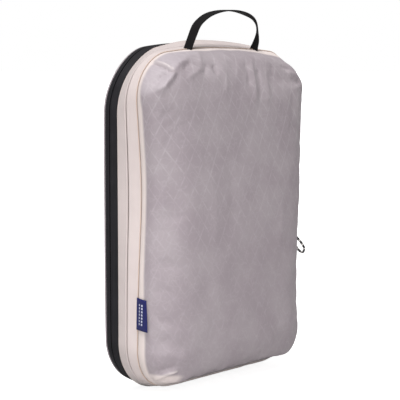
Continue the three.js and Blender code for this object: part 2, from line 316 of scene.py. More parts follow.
class Nodes:
    """A short way to write a node material."""

    def __init__(self, name, roughness=0.6, metallic=0.0, sheen=0.0, specular=0.5):
        self.material = bpy.data.materials.new(name)
        self.material.use_nodes = True
        self.tree = self.material.node_tree
        self.shader = self.tree.nodes["Principled BSDF"]
        self.set("Roughness", roughness)
        self.set("Metallic", metallic)
        self.set("Sheen Weight", sheen)
        self.set("Sheen Roughness", 0.5)
        self.set("Specular IOR Level", specular)

    def set(self, socket, value):
        self.shader.inputs[socket].default_value = value

    def node(self, kind, **values):
        made = self.tree.nodes.new(kind)
        for key, value in values.items():
            setattr(made, key, value)
        return made

    def link(self, a, b):
        self.tree.links.new(a, b)

    def put(self, target, value):
        """Sets an input to a number or a colour, or links it to an output."""
        if isinstance(value, (int, float)):
            target.default_value = value
        elif isinstance(value, tuple):
            target.default_value = value if len(value) == 4 else (*value, 1)
        else:
            self.link(value, target)

    def fill(self, made, **values):
        for name, value in values.items():
            self.put(made.inputs[name.replace("_", " ")], value)

    def math(self, operation, a, b=0.0, c=0.0, clamp=False):
        made = self.node("ShaderNodeMath", operation=operation, use_clamp=clamp)
        for socket, value in zip(made.inputs, (a, b, c)):
            self.put(socket, value)
        return made.outputs[0]

    def times(self, a, b):
        return self.math("MULTIPLY", a, b)

    def plus(self, a, b, clamp=False):
        return self.math("ADD", a, b, clamp=clamp)

    def mix(self, share, a, b):
        made = self.node("ShaderNodeMix", data_type="RGBA")
        self.fill(made, Factor=share, A=a, B=b)
        return made.outputs["Result"]

    def split(self, source, output):
        parts = self.node("ShaderNodeSeparateXYZ")
        self.link(source.outputs[output], parts.inputs[0])
        return parts.outputs[:3]

    def place(self):
        """x, y and z of the point on the object, in metres."""
        return self.split(self.node("ShaderNodeTexCoord"), "Object")

    def along(self):
        """Distance along and across a piece, in metres. The third part is 0."""
        return self.split(self.node("ShaderNodeUVMap", uv_map="along"), 0)

    def noise(self, scale, detail=2.0, roughness=0.5):
        coordinates = self.node("ShaderNodeTexCoord")
        made = self.node("ShaderNodeTexNoise")
        place = coordinates.outputs["Object"]
        self.fill(made, Scale=scale, Detail=detail, Roughness=roughness, Vector=place)
        return made.outputs["Fac"]

    def line(self, distance, pitch, sharp):
        """1 on evenly pitched lines and 0 between them. A larger sharp makes thinner lines."""
        turn = self.math("MULTIPLY", distance, 2 * math.pi / pitch)
        wave = self.math("MULTIPLY_ADD", self.math("COSINE", turn), 0.5, 0.5)
        return self.math("POWER", wave, sharp)

    def step(self, value, low, high):
        made = self.node("ShaderNodeMapRange", interpolation_type="SMOOTHSTEP")
        self.fill(made, Value=value, From_Min=low, From_Max=high)
        return made.outputs[0]

    def mark(self, distance, centre, half):
        """1 within half of the centre."""
        away = self.math("ABSOLUTE", self.math("SUBTRACT", distance, centre))
        return self.math("LESS_THAN", away, half)

    def scaled(self, value, share, base):
        """A value times a share, plus a base."""
        return self.math("MULTIPLY_ADD", value, share, base)

    def attribute(self, name):
        return self.node("ShaderNodeAttribute", attribute_name=name).outputs["Fac"]

    def bump(self, height, distance, strength=1.0):
        made = self.node("ShaderNodeBump")
        self.fill(made, Distance=distance, Strength=strength, Height=height)
        self.link(made.outputs[0], self.shader.inputs["Normal"])

    def color(self, value):
        self.put(self.shader.inputs["Base Color"], value)


def srgb(r, g, b):
    """A display colour, 0 to 255, as a linear one."""
    def one(v):
        v /= 255
        return v / 12.92 if v <= 0.04045 else ((v + 0.055) / 1.055) ** 2.4
    return (one(r), one(g), one(b), 1.0)


# ---- materials

# The ripstop's two sets of stronger yarns: lines to the metre, across and up. They cross in tall
# diamonds about 17 mm wide, and the cloth is cut a few degrees off its grain.
YARN_LINES = ((56.8, -28.0), (59.7, 47.8))
YARN_SHARP = 40


def diamonds(m):
    """The ripstop's crossed yarns, a grid of tall diamonds."""
    x, z, _ = m.along()
    lines = []
    for across, up in YARN_LINES:
        turns = m.plus(m.times(x, across), m.times(z, up))
        lines.append(m.line(turns, 1.0, YARN_SHARP))
    return m.math("MAXIMUM", *lines)


def ripstop_material():
    """Thin grey nylon, lighter where it lies single, with painted light on its top left corner,
    painted shade along the corner crease, painted highlights on the fold ridges, and a fading grid
    of yarns.
    """
    m = Nodes("ripstop_nylon", roughness=0.6, sheen=0.04, specular=0.16)
    m.set("Sheen Roughness", 0.4)
    pale = srgb(222, 215, 219)
    base = m.mix(m.step(m.noise(26, 3), 0.3, 0.7), srgb(147, 137, 142), srgb(155, 146, 150))
    for name, share, tint in (
        # paler where the cloth lies single, plus painted light on the top left corner facet
        ("single_layer_and_painted_light", 0.2, srgb(222, 213, 219)),
        # a painted highlight along the fold ridges
        ("ridge_painted_highlight", 0.55, srgb(224, 214, 211)),
        # a painted shade line along the corner crease
        ("crease_painted_shade", 0.7, srgb(140, 124, 120)),
        ("seam_flange", 1.0, srgb(211, 199, 195)),
    ):
        base = m.mix(m.times(m.attribute(name), share), base, tint)
    grid = diamonds(m)
    patchy = m.step(m.noise(130, 3), 0.35, 0.7)
    upper = m.step(m.scaled(m.noise(11, 1), 0.3, m.along()[1]), 0.0, 0.3)
    strength = m.times(m.scaled(patchy, 0.11, 0.025), m.scaled(upper, 0.65, 0.35))
    base = m.mix(m.times(grid, strength), base, pale)
    from_vein = m.math("ABSOLUTE", m.scaled(m.noise(120, 1), 2.0, -1.0))
    vein = m.math("POWER", m.math("SUBTRACT", 1.0, from_vein), 24.0)
    base = m.mix(m.times(vein, 0.06), base, srgb(226, 219, 223))
    m.color(base)
    relief = m.scaled(grid, 0.25, m.times(m.noise(2600, 1), 0.4))
    m.bump(relief, 0.00012, 0.8)
    return m.material


def woven_material(name, dark, light, roughness, rib_pitch, sheen=0.3, specular=0.3):
    """Woven tape or webbing with ribs across its length."""
    m = Nodes(name, roughness=roughness, sheen=sheen, specular=specular)
    run, across, _ = m.along()
    rib = m.line(run, rib_pitch, 1.5)
    yarn = m.line(across, rib_pitch * 0.9, 1.5)
    twill = m.line(m.plus(run, across), rib_pitch * 1.3, 1.2)
    mixed = m.scaled(m.times(rib, yarn), 0.5, m.times(twill, 0.3))
    share = m.plus(mixed, m.scaled(m.noise(60, 3), 0.5, -0.15), clamp=True)
    m.color(m.mix(share, srgb(*dark), srgb(*light)))
    m.bump(m.plus(rib, m.times(yarn, 0.5)), 0.0001, 0.7)
    return m.material


def plain_weave_material(name, dark, light):
    """Plain-woven lining cloth."""
    m = Nodes(name, roughness=0.75, sheen=0.3, specular=0.3)
    x, y, z = m.place()
    warp = m.line(m.plus(x, y), 0.0007, 1.2)
    weft = m.line(z, 0.0007, 1.2)
    cloud = m.times(m.noise(40, 3), 0.65)
    share = m.math("MULTIPLY_ADD", m.times(warp, weft), 0.35, cloud, clamp=True)
    m.color(m.mix(share, srgb(*dark), srgb(*light)))
    m.bump(m.plus(warp, weft), 0.00008, 0.7)
    return m.material


def plain_material(name, dark, light, roughness, sheen, grain, relief):
    """Moulded nylon or thread. grain is its colour noise, and relief its bump's four numbers."""
    m = Nodes(name, roughness=roughness, sheen=sheen)
    m.color(m.mix(m.noise(grain, 2), srgb(*dark), srgb(*light)))
    scale, detail, distance, strength = relief
    m.bump(m.noise(scale, detail), distance, strength)
    return m.material


def coil_material(name, dark, light):
    """Moulded nylon, a little shiny."""
    return plain_material(name, dark, light, 0.34, 0.0, 300, (1800, 2, 0.00005, 0.4))


def thread_material(name, dark, light):
    """Sewing thread."""
    return plain_material(name, dark, light, 0.55, 0.3, 1500, (4000, 1, 0.00004, 0.5))


def metal_material():
    """Dark zipper metal with paler worn specks."""
    m = Nodes("dark_metal", metallic=0.85)
    wear = m.step(m.noise(900, 4, 0.7), 0.56, 0.72)
    m.color(m.mix(wear, srgb(70, 70, 74), srgb(132, 132, 136)))
    m.put(m.shader.inputs["Roughness"], m.scaled(m.noise(500, 3), 0.25, 0.24))
    m.bump(m.noise(2200, 2), 0.00003, 0.4)
    return m.material


def label_material():
    """Blue woven tag. Two plain pale stripes stand where a real one is marked."""
    m = Nodes("woven_label", roughness=0.7, sheen=0.05, specular=0.25)
    run, across, _ = m.along()
    warp = m.line(run, 0.0006, 1.2)
    weft = m.line(across, 0.0005, 1.2)
    base = m.mix(m.times(warp, weft), srgb(16, 20, 78), srgb(32, 37, 104))
    thin, thick = m.mark(across, 0.0050, 0.0006), m.mark(across, 0.0092, 0.0011)
    stripe = m.plus(thin, thick, clamp=True)
    dash = m.math("GREATER_THAN", m.line(run, 0.0034, 1.0), 0.3)
    before_end = m.math("SUBTRACT", 1.0, m.step(run, 0.0285, 0.029))
    inside = m.times(m.step(run, 0.005, 0.0055), before_end)
    share = m.times(m.times(stripe, dash), m.times(inside, 0.8))
    m.color(m.mix(share, base, srgb(206, 210, 226)))
    m.bump(m.plus(warp, weft), 0.00008, 0.8)
    return m.material


CORD_DIAMETER = 0.0030
CORD_TURN = 0.0062  # the length over which the braid repeats


def cord_material():
    """Braided cord: black and pale carriers that cross round it."""
    m = Nodes("speckled_cord", roughness=0.7, sheen=0.3, specular=0.3)
    run, around, _ = m.along()
    one = m.line(m.plus(run, around), CORD_TURN, 1.0)
    other = m.line(m.math("SUBTRACT", run, around), CORD_TURN, 1.0)
    pale = m.times(m.math("GREATER_THAN", one, 0.5), m.math("GREATER_THAN", other, 0.4))
    fuzz = m.noise(900, 2)
    black = m.mix(fuzz, srgb(18, 17, 19), srgb(38, 36, 38))
    white = m.mix(fuzz, srgb(190, 185, 184), srgb(234, 229, 226))
    m.color(m.mix(pale, black, white))
    m.bump(m.plus(one, other), 0.00025, 0.9)
    return m.material


ripstop = ripstop_material()
cream_tape = woven_material(
    "cream_tape", (187, 175, 173), (210, 198, 195), 0.75, 0.0015, sheen=0.15
)
black_tape = woven_material(
    "black_tape", (10, 9, 12), (43, 41, 46), 0.7, 0.0015, sheen=0.02, specular=0.18
)
webbing = woven_material(
    "black_webbing", (9, 8, 9), (25, 23, 24), 0.8, 0.0016, sheen=0.0, specular=0.14
)
binding = woven_material("binding_tape", (196, 184, 178), (222, 212, 206), 0.8, 0.0014)
cream_fabric = plain_weave_material("cream_fabric", (196, 188, 187), (222, 214, 212))
cream_coil = coil_material("cream_coil", (168, 146, 132), (196, 176, 162))
black_coil = coil_material("black_coil", (16, 15, 18), (38, 36, 40))
dark_metal = metal_material()
label_weave = label_material()
cord_braid = cord_material()
cream_thread = thread_material("cream_thread", (190, 174, 166), (216, 202, 196))
tan_thread = thread_material("tan_thread", (186, 158, 138), (212, 186, 166))
black_thread = thread_material("black_thread", (20, 19, 22), (44, 42, 46))

# ---- cord pull

# The loop's middle line, in millimetres, from the ring down one side and back up the other.
CORD_ROUTE = [
    (133, -7, 161.8), (134.5, -10, 158.5), (136, -13.5, 154.5), (137.5, -16.5, 150),
    (138.5, -19.5, 145.5), (140, -22.5, 141), (141, -25, 136.5), (143, -27, 132),
    (144, -28.5, 130), (146, -29, 128.5), (148, -29.5, 127.5), (150.5, -29.5, 127.5),
    (152.5, -29, 128.5), (154, -28.5, 130), (155, -27.5, 132), (155, -26.5, 134),
    (153.5, -23.5, 139), (151, -20.5, 143.5), (148, -18, 147.5), (144.5, -15.5, 151.5),
    (141.5, -12.5, 155.5), (139, -9.5, 159), (137, -7, 161.8),
]


def tube_rows(path, radius, sides, normal_hint):
    """Rows of a round tube along a path, one for each side."""
    tangent = unit(np.gradient(path, axis=0))
    one = unit(np.cross(tangent, np.array(normal_hint, float)))
    two = np.cross(tangent, one)
    run = run_along(path)
    turn = run / (CORD_TURN / 2) * 2 * math.pi
    rows, uvs = [], []
    for k in range(sides):
        a = 2 * math.pi * k / sides
        braid = 0.035 * np.cos(turn + 2 * a) * np.cos(turn - 2 * a)
        size = (radius * (1 + braid))[:, None]
        rows.append(path + (one * math.cos(a) + two * math.sin(a)) * size)
        uvs.append(beside(run, a / (2 * math.pi) * CORD_TURN))
    return rows, np.vstack(uvs), run[-1]


def make_cord():
    """The loop of cord through the compression pull's ring."""
    path = catmull(np.array(CORD_ROUTE) * MM, 150)
    rows, uvs, length = tube_rows(path, CORD_DIAMETER / 2, 16, (0.37, -0.62, 0.69))
    cord = swept("compression_pull_loop", rows, False, uvs)
    finish_piece(cord, "compression_pull", cord_braid, "compression_pull_cord")


make_cord()

# ---- front panel

# Section of the full front panel from its seam to its middle: inset and y in millimetres.
PANEL_PROFILE = [
    (0.6, -21.0), (-0.6, -25), (-1.0, -31), (0.2, -39), (3.2, -46), (8.9, -50.2),
    (20, -53.4), (45, -56.2), (80, -57.8), (128, -58.4),
]
PANEL_ROWS = 62
CORE_RING = 30
PANEL_SHORT = 2 * PANEL_ROWS + 1
PANEL_LONG = PANEL_SHORT + 40


def panel_grid(profile):
    """A grid of points over a panel whose rings follow the outline, with each point's ring."""
    line, _ = spaced(catmull(profile, 400), PANEL_ROWS + 1)
    inset, depth = line[:, 0] * MM, line[:, 1] * MM
    points = np.zeros((PANEL_SHORT, PANEL_LONG, 3))
    ring_of = np.zeros((PANEL_SHORT, PANEL_LONG), int)
    for ring in range(PANEL_ROWS + 1):
        a, b = PANEL_SHORT - 1 - 2 * ring, PANEL_LONG - 1 - 2 * ring
        loops = ring_sides(inset[ring], depth[ring], a, b)
        i0, i1, k0, k1 = ring, PANEL_SHORT - 1 - ring, ring, PANEL_LONG - 1 - ring
        points[i0 : i1 + 1, k0] = loops[0]
        points[i1, k0 : k1 + 1] = loops[1]
        points[i0 : i1 + 1, k1] = loops[2][::-1]
        points[i0, k0 : k1 + 1] = loops[3][::-1]
        ring_of[i0 : i1 + 1, k0] = ring_of[i0 : i1 + 1, k1] = ring
        ring_of[i1, k0 : k1 + 1] = ring_of[i0, k0 : k1 + 1] = ring
    core = slice(CORE_RING, -CORE_RING), slice(CORE_RING, -CORE_RING)
    points[core] = patch(points[core], profile[-1][1] * MM - depth[CORE_RING])
    return points, ring_of


def patch(block, dome):
    """Fills a block of the grid smoothly from its four sides, with a low dome in y."""
    s = np.linspace(0, 1, block.shape[0])[:, None, None]
    t = np.linspace(0, 1, block.shape[1])[None, :, None]
    sides = (1 - s) * block[:1] + s * block[-1:]
    ends = (1 - t) * block[:, :1] + t * block[:, -1:]
    low = (1 - t) * block[:1, :1] + t * block[:1, -1:]
    high = (1 - t) * block[-1:, :1] + t * block[-1:, -1:]
    made = sides + ends - (1 - s) * low - s * high
    made[..., 1] += (dome * (4 * s * (1 - s)) * (4 * t * (1 - t)))[..., 0]
    return made


def ring_sides(inset, y, short, long):
    """The outline in four runs, each from one corner's middle to the next's.

    They are the bottom, the right side, the top and the left side.
    """
    corner = corners(inset, y, 0.0006)
    runs = (
        ("bottom left", 225, "bottom right", 270, short),
        ("bottom right", 315, "top right", 0, long),
        ("top right", 45, "top left", 90, short),
        ("top left", 135, "bottom left", 180, long),
    )
    sides = []
    for start, from_angle, end, to_angle, count in runs:
        fine = np.vstack([
            arc(corner[start], from_angle, from_angle + 45, 24),
            arc(corner[end], to_angle, to_angle + 45, 24),
        ])
        line, _ = spaced(fine, count + 1)
        sides.append(bowed(line[:, 0], np.full(count + 1, y), line[:, 1], inset))
    return sides


def grid_faces(columns, rows):
    faces = []
    for i in range(columns - 1):
        for k in range(rows - 1):
            a = i * rows + k
            faces.append((a, a + rows, a + rows + 1, a + 1))
    return faces


FLOOR_RISE = 0.0085  # how far the underside lifts, in all
FLOOR_ROUNDING = 0.004
RIGHT_SLACK = (0.003, 0.005)  # how far the right edge is drawn in: all the way, and more low down
TOP_ROLL = 0.006  # how far the top edge drops forward of the seam
SHOULDER_DROP = 0.005  # and the more it drops at the right


def settle(points):
    """Lifts the underside towards the front, slackens the right edge and rolls the top forward."""
    flat = points.reshape(-1, 3)
    from_seam = FRONT_SEAM - flat[:, 1]
    depth = ramp(from_seam, 0, 0.026)
    floor = by_depth(BOTTOM_LIFT, FRONT_SEAM) + FLOOR_RISE * depth
    over = flat[:, 2] - floor
    raised = floor + 0.5 * (over + np.sqrt(over**2 + FLOOR_ROUNDING**2))
    flat[:, 2] += (raised - flat[:, 2]) * ramp(depth, 0, 0.25)
    across = np.clip(flat[:, 0] / HALF_WIDTH, 0, 1) ** 4
    slack = RIGHT_SLACK[0] + RIGHT_SLACK[1] * ramp(flat[:, 2], 0.21, -0.11)
    flat[:, 0] -= slack * across * depth
    high = ramp(flat[:, 2], 0.312, 0.045)
    forward = np.sin(np.clip(from_seam / 0.022, 0, 1) * math.pi / 2)
    flat[:, 2] -= (TOP_ROLL + SHOULDER_DROP * ramp(flat[:, 0], 0.04, 0.06)) * high * forward
    return points


def from_middle(grid):
    """The distance along the fabric from a grid's middle row to each point."""
    steps = np.linalg.norm(np.diff(grid, axis=0), axis=2)
    run = np.vstack([np.zeros((1, grid.shape[1])), np.cumsum(steps, axis=0)])
    return run - run[len(run) // 2]


def unrolled(points):
    """Each point's distances from the panel's middle along the fabric, sideways and up."""
    up = from_middle(points.transpose(1, 0, 2)).T
    return np.stack([from_middle(points), up], 2).reshape(-1, 2)


def point_normals(points):
    """The outward direction at each point of a grid."""
    one, two = np.gradient(points, axis=0), np.gradient(points, axis=1)
    normal = np.cross(one, two)
    normal /= np.maximum(np.linalg.norm(normal, axis=2), 1e-12)[..., None]
    middle = normal[normal.shape[0] // 2, normal.shape[1] // 2]
    return normal * (-1 if middle[1] > 0 else 1)


def keep(piece, name, values):
    """Stores one number for each point, for the material."""
    layer = piece.data.attributes.new(name, "FLOAT", "POINT")
    layer.data.foreach_set("value", np.asarray(values, np.float32).ravel())


# Lines on the front panel where its corners are folded over, in millimetres. They also carry the
# painted highlight along the ridges and the painted shade along the crease.
CORNER_RIDGE = (
    (-105.3, -22.9, 353.6), (-103.5, -35.2, 352.7), (-103.3, -45, 350.8), (-101.7, -47.9, 349),
    (-99.1, -49.9, 347.1),
)
CORNER_CREASE = (
    (-107.1, -23.2, 352.3), (-105.9, -32.4, 351.3), (-105.7, -41, 349.5), (-105.2, -46.8, 346.2),
    (-103.4, -49.4, 345.6), (-98.9, -50.9, 345.4),
)
LOWER_RIDGE = (
    (-117, -32.6, 20.3), (-117.1, -42.3, 24.5), (-113.3, -50.8, 27.8), (-106.2, -56, 29.2),
    (-100.4, -56.7, 30),
)

# Folds pressed into the front panel, in millimetres: how far each stands out, its half width, and
# the points it runs through. A negative height is a crease that goes in.
FOLDS = (
    (3.2, 3.4, ((-97.2, -50.7, 346.5), (-102.3, -52.8, 341.7), (-109.6, -53.3, 337.2),
                (-115.7, -52.7, 330.4), (-120, -50.5, 326.9), (-123.2, -44.2, 322.3))),
    (2.6, 1.9, CORNER_RIDGE),
    (-2.8, 1.7, CORNER_CREASE),
    (-2.0, 2.8, ((-106.5, -48, 344.5), (-110.3, -44.7, 341.4), (-117.3, -43, 334.9),
                 (-121.9, -39.7, 328.1))),
    (-1.6, 4.0, ((-94.6, -52.6, 343.4), (-103.7, -54.6, 334.3), (-113.1, -53.4, 326.7))),
    (1.8, 4.0, ((-97.2, -50.7, 346.5), (-92.9, -49.9, 351.6), (-83.8, -47.7, 355.8),
                (-70.8, -45.9, 357.4))),
    (-2.2, 5.0, ((-86, -52, 345), (-78.7, -48.7, 350.2), (-70, -49, 352.5))),
    (1.8, 3.6, ((-86, -53.5, 336), (-77, -53, 340.5), (-67, -52.5, 344.5), (-61, -51, 348))),
    (-2.2, 4.2, ((-60, -54, 338), (-54, -52.5, 346), (-50, -50, 352))),
    (1.8, 4.0, ((-45, -31, 364.5), (-52, -42, 360), (-56.7, -48.8, 355.5), (-60, -51, 350))),
    (-1.2, 4.0, ((-40, -53, 352), (-37, -54, 340))),
    (1.0, 5.0, ((-28, -52, 354), (-26, -54, 336), (-30, -56, 318))),
    (-1.3, 4.0, ((16, -51, 355), (14, -54, 340), (12, -56, 325))),
    (1.5, 4.5, ((25, -51, 355), (22, -55, 334), (18, -57, 306))),
    (-1.4, 4.5, ((35, -52, 350), (33, -55, 332), (28, -57, 308))),
    (1.2, 5.0, ((47, -52, 350), (45, -55, 330), (40, -57, 305))),
    (-1.0, 5.0, ((62, -51, 352), (58, -54, 335))),
    (-1.6, 2.4, ((79, -50, 350), (88, -52, 347.5), (97, -51, 345))),
    (1.8, 4.0, ((86, -52, 343.5), (97, -52, 341), (110, -49, 337))),
    (-1.4, 3.5, ((92, -54, 336), (104, -52, 333), (114, -48, 329))),
    (0.8, 8.0, ((98, -54, 326), (101, -54.5, 305), (100, -55, 276), (97, -55, 250))),
    (-0.8, 7.0, ((86, -55, 330), (88, -56, 300), (84, -57, 270))),
    (2.6, 3.4, LOWER_RIDGE),
    (-2.0, 3.6, ((-121.5, -40, 31), (-117, -48, 33), (-110, -54, 35), (-102, -56.5, 36))),
    (-2.4, 4.5, ((-113, -44, 17), (-107, -52, 22), (-97, -56, 24))),
    (1.0, 6.0, ((-122, -48, 60), (-112, -53, 52), (-98, -55, 44), (-84, -55.5, 40))),
    (-0.9, 6.0, ((-118, -52, 72), (-106, -55, 60), (-92, -56, 52))),
    (1.0, 8.0, ((60, -56, 60), (84, -55, 48), (104, -52, 40))),
    (-0.9, 7.0, ((50, -57, 46), (76, -55, 36), (98, -52, 30))),
    (0.9, 9.0, ((-60, -57.5, 250), (-48, -58, 200), (-52, -58, 150))),
    (-0.8, 9.0, ((-35, -58, 270), (-22, -58, 220), (-28, -58, 170))),
    (0.9, 9.0, ((52, -58, 240), (66, -57.5, 190), (60, -57.5, 140))),
    (-0.8, 8.0, ((88, -56, 240), (96, -55.5, 190), (92, -55.5, 140))),
)
FOLD_FADE = 0.22  # the share of a fold over which each end fades

CLOTH_FRAMES = 20
CLOTH_REACH = 0.006
CLOTH_SETTINGS = {
    "quality": 6,
    "mass": 0.12,
    "tension_stiffness": 12,
    "compression_stiffness": 12,
    "shear_stiffness": 4,
    "bending_stiffness": 0.08,
    "vertex_group_mass": "rim",
    "shrink_min": -0.010,
    "use_pressure": True,
    "uniform_pressure_force": 2.2,
}


def filled(points, faces, rim):
    """Lets the fabric settle, held at its rim and pressed from behind, by CLOTH_REACH at most."""
    piece = outward(make_mesh("settling", points, faces))
    held = piece.vertex_groups.new(name="rim")
    shares = np.round(rim, 2)
    for share in sorted(set(shares)):
        held.add([int(i) for i in np.nonzero(shares == share)[0]], float(share), "REPLACE")
    cloth = piece.modifiers.new("cloth", "CLOTH")
    for key, value in CLOTH_SETTINGS.items():
        setattr(cloth.settings, key, value)
    cloth.settings.effector_weights.gravity = 0
    cloth.collision_settings.use_collision = False
    cloth.point_cache.frame_end = CLOTH_FRAMES
    for number in range(1, CLOTH_FRAMES + 1):
        bpy.context.scene.frame_set(number)
    settled = piece.evaluated_get(bpy.context.evaluated_depsgraph_get()).data
    moved = np.zeros(len(points) * 3)
    settled.vertices.foreach_get("co", moved)
    bpy.context.scene.frame_set(1)
    bpy.data.objects.remove(piece)
    shift = moved.reshape(-1, 3) - points
    shift = both_ways(shift.reshape(PANEL_SHORT, PANEL_LONG, 3), evened).reshape(-1, 3)
    far = np.linalg.norm(shift, axis=1)
    least = np.maximum(far, 1e-9)
    return points + shift * (CLOTH_REACH * np.tanh(far / CLOTH_REACH) / least)[:, None]


def both_ways(grid, change):
    """A change applied to a grid one way, then the other."""
    for axis in (0, 1):
        grid = np.moveaxis(change(np.moveaxis(grid, axis, 0)), 0, axis)
    return grid


def evened(grid):
    """Each value averaged with its neighbours' before and after."""
    return np.concatenate([grid[:1], (grid[:-2] + 2 * grid[1:-1] + grid[2:]) / 4, grid[-1:]])


def finer(grid):
    """A new point between every two, on a smooth curve through them."""
    padded = np.concatenate([2 * grid[:1] - grid[1:2], grid, 2 * grid[-1:] - grid[-2:-1]])
    made = np.zeros((2 * len(grid) - 1, *grid.shape[1:]))
    made[::2] = grid
    made[1::2] = (9 * (padded[1:-2] + padded[2:-1]) - padded[:-3] - padded[3:]) / 16
    return made


def nearest(points, spot):
    """The middle of the few points nearest to a spot."""
    away = ((points - spot) ** 2).sum(1)
    return points[np.argpartition(away, 6)[:6]].mean(0)


def along_line(points, line):
    """Each point's squared distance to a line on the fabric, and the nearest share of the line."""
    route = catmull([nearest(points, spot) for spot in np.array(line) * MM], 24)
    near = np.full(len(points), 1e9)
    share = np.zeros(len(points))
    for i, spot in enumerate(route):
        away = ((points - spot) ** 2).sum(1)
        closer = away < near
        near[closer], share[closer] = away[closer], i / (len(route) - 1)
    return near, share


def fold_height(points):
    """How far the listed folds lift each point."""
    lift = np.zeros(len(points))
    for height, half, line in FOLDS:
        near, share = along_line(points, line)
        ends = ramp(share, 0, FOLD_FADE) * ramp(share, 1, -FOLD_FADE) + 0.12
        lift += height * MM * ends * np.exp(-((near / (half * MM) ** 2) ** 0.7))
    return lift


def painted(points, lines, half):
    """1 on any of the lines, falling to 0 beyond half a width, in metres."""
    mark = np.zeros(len(points))
    for line in lines:
        near, share = along_line(points, line)
        mark = np.maximum(mark, np.exp(-near / half**2) * ramp(share, 1.02, -0.1))
    return mark


def crinkles(points):
    """The fabric's small slanting crinkles."""
    lift = np.zeros(len(points))
    for i, p in enumerate(points):
        slant = Vector((p[0] + 0.35 * p[2], p[2] * 0.38 - 0.1 * p[0], p[1])) * 62
        other = Vector((p[0] - 0.5 * p[2], p[2] * 0.5 + 0.2 * p[0], p[1])) * 34
        lift[i] = noise.noise(slant) * 0.00035 + noise.noise(other) * 0.0006
    return lift


def thicken(piece, thickness):
    """Gives fabric its thickness, inwards."""
    thick = piece.modifiers.new("thickness", "SOLIDIFY")
    thick.thickness, thick.offset = thickness, -1


def make_front_panel():
    """The full front panel: a shell of thin fabric, sewn at its rim and filled out from behind."""
    points, ring_of = panel_grid(PANEL_PROFILE)
    points = settle(points)
    faces = grid_faces(PANEL_SHORT, PANEL_LONG)
    place = points.reshape(-1, 3)
    # Held at its rim, and nearly as firmly at the taut top right.
    taut = ramp(place[:, 0], 0.03, 0.03) * ramp(place[:, 2], 0.325, 0.03)
    rim = np.maximum(1 - ramp(ring_of.ravel(), 2, 8), 0.85 * taut)
    grid = both_ways(filled(place, faces, rim).reshape(points.shape), finer)
    flat = grid.reshape(-1, 3)
    from_seam = FRONT_SEAM - flat[:, 1]
    lift = (fold_height(flat) + crinkles(flat)) * ramp(from_seam, 0.001, 0.006)
    flat = flat + point_normals(grid).reshape(-1, 3) * lift[:, None]
    faces = grid_faces(*grid.shape[:2])
    panel = outward(make_mesh("front_panel_fabric", flat, faces, unrolled(grid)))
    x, z = flat[:, 0], flat[:, 2]
    # The seam allowance, a pale strip that is wider low down and along the top.
    strip = 0.0072 + 0.0035 * ramp(z, 0.14, -0.08) - 0.0032 * ramp(z, 0.30, 0.03)
    strip += 0.0055 * ramp(x, -0.07, 0.04) * ramp(z, 0.33, 0.02)
    allowance = 1 - ramp(from_seam - strip, -0.0012, 0.004)
    tucked = ramp(x, -0.088, -0.012) * ramp(z + 0.12 * (x + 0.1), 0.027, -0.004)
    keep(panel, "seam_flange", np.maximum(allowance, 0.75 * tucked))
    # The cloth beyond the fold at the top left corner, where it lies single: paler for that, and
    # with painted light where the corner facet turns to the light.
    beyond = np.maximum(
        0.73 * (z - 0.3465) - 0.69 * (x + 0.0972), z - 0.3516 - 0.26 * (x + 0.0929)
    )
    faded = ramp(z, 0.308, 0.022) * (1 - ramp(x, -0.09, 0.07))
    keep(panel, "single_layer_and_painted_light", ramp(beyond, -0.00105, 0.0035) * faded)
    # painted shade along the corner crease
    keep(panel, "crease_painted_shade", painted(flat, (CORNER_CREASE,), 0.0009))
    # painted highlight along the corner and lower fold ridges
    keep(panel, "ridge_painted_highlight", painted(flat, (CORNER_RIDGE, LOWER_RIDGE), 0.0015))
    thicken(panel, 0.0004)
    finish_piece(panel, "front", ripstop, "front_panel")


make_front_panel()

# ---- zippers

TAPE_THICK = 1.1
TAPE_ROLL = 0.35


def tape_section(edge, end, step):
    """A zipper tape's section, in millimetres: rolled at the coil and flat to its sewn end."""
    d = 1 if end > edge else -1
    return [
        (0.55, edge), (0.1, edge + d * 0.15), (-TAPE_ROLL, edge + d * 0.7),
        (-TAPE_ROLL, edge + d * 1.7), (0.0, edge + d * 2.5), (step, end - d * 0.4),
        (step + 0.2, end), (step + TAPE_THICK, end), (TAPE_THICK, edge + d * 2.5),
        (TAPE_THICK, edge + d * 0.5),
    ]


def closed_run(first, sides, steps):
    """Faces of a short closed bar whose points go round it, one ring after another."""
    faces = []
    for j in range(steps):
        for i in range(sides):
            k = (i + 1) % sides
            p = first + sides * j
            faces.append((p + i, p + k, p + sides + k, p + sides + i))
    faces.append(tuple(first + i for i in reversed(range(sides))))
    faces.append(tuple(first + sides * steps + i for i in range(sides)))
    return faces


# One turn of a coil: shares of its width in y and of its thickness outwards, and its half pitch.
TURN_SHAPE = (
    (-0.1, 0.5, 0.42), (0.35, 0.5, 0.42), (1.0, 0.35, 0.4),
    (1.0, -0.35, 0.4), (0.35, -0.5, 0.42), (-0.1, -0.5, 0.42),
)
TURN_PITCH = 0.0017
TURN_WIDTH = 0.0022
TURN_INSET = 2.05 * MM
TURN_THICK = 1.3 * MM
TURN_LENGTH = 0.72


